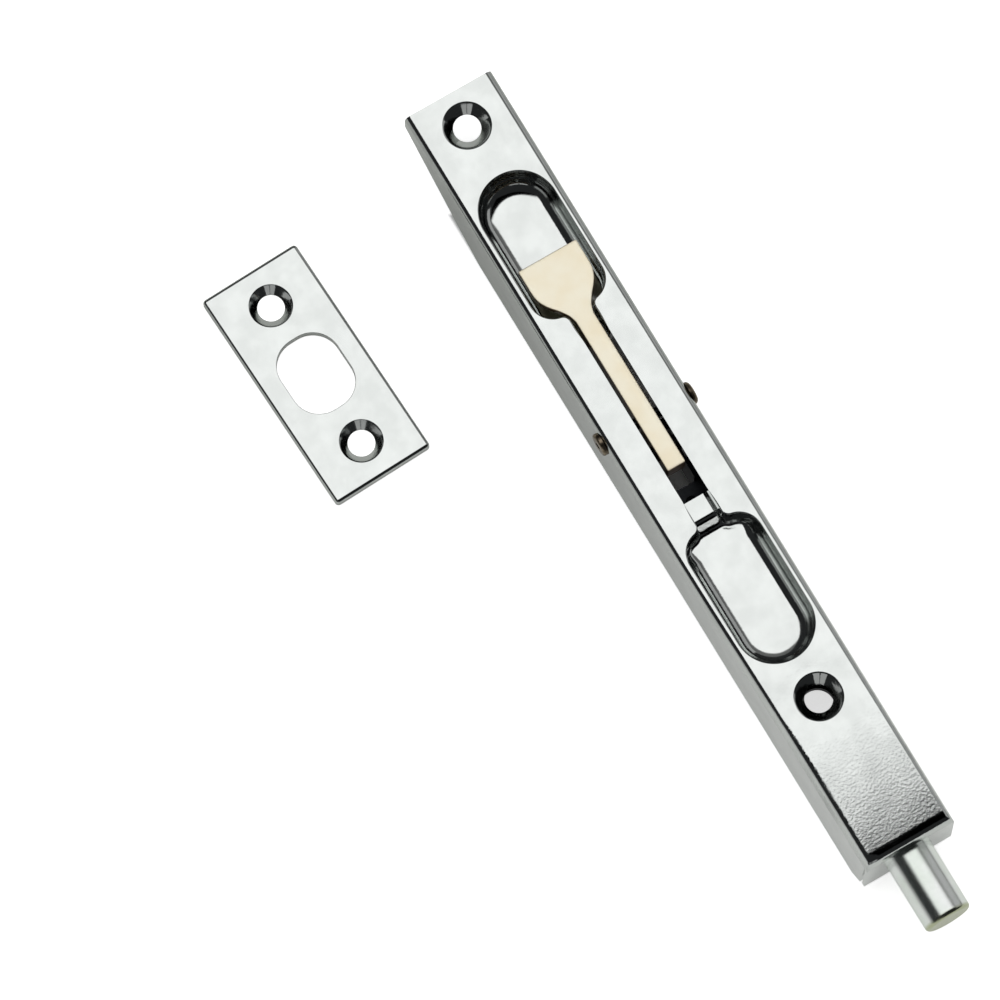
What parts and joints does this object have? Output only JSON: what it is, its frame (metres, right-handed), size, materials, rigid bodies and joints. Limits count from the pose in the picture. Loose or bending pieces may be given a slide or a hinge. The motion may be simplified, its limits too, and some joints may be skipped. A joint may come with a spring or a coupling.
{
  "type": "toggle bolt latch",
  "caption": "Flush bolt for the edge of a door: a flip lever in a slim pressed case throws a round bolt into a separate strike plate.",
  "frame": {"origin": "on the face plate's outer surface, midway between its two screw holes", "axes": "+X along the bolt towards its nose, +Z out of the face plate; the case lies on its back with the strike plate beside it on the -Y side"},
  "size_m": [0.1736, 0.0656, 0.017],
  "materials": {
    "chrome_sheet": "bright chrome on pressed sheet steel, faint orange peel",
    "lever_plating": "satin cream-gold plated zinc casting",
    "zinc_plating": "bright zinc plating with a faint blue-green tint",
    "inner_steel": "zinc plated sheet and plate",
    "rivet_steel": "dull plated steel",
    "pin_steel": "ground steel pin",
    "spring_steel": "dark spring steel strip"
  },
  "bodies": {
    "case_body": {"case": "chrome_sheet", "pivot_rivet": "rivet_steel", "bolt_guide": "inner_steel", "strap_keeper": "inner_steel", "detent_spring": "spring_steel", "spring_rivet": "rivet_steel", "strike_plate": "chrome_sheet"},
    "lever_body": {"lever": "lever_plating", "crank_pin": "pin_steel"},
    "bolt_body": {"bolt": "zinc_plating", "bolt_cross_pin": "pin_steel", "drive_strap": "inner_steel", "yoke": "inner_steel", "yoke_rivets": "rivet_steel"}
  },
  "joints": [
    {"name": "lever_flip", "type": "hinge", "parent": "case_body", "child": "lever_body", "pos_m": [0.0014, 0, -0.0024], "axis": [0, 1, 0], "range_deg": [0, 180]},
    {"name": "bolt_throw", "type": "slide", "parent": "case_body", "child": "bolt_body", "axis": [-1, 0, 0], "range_m": [0, 0.013]}
  ],
  "couplings": [
    {"joint": "bolt_throw", "follows": "lever_flip", "m_per_rad": 0.004138}
  ]
}
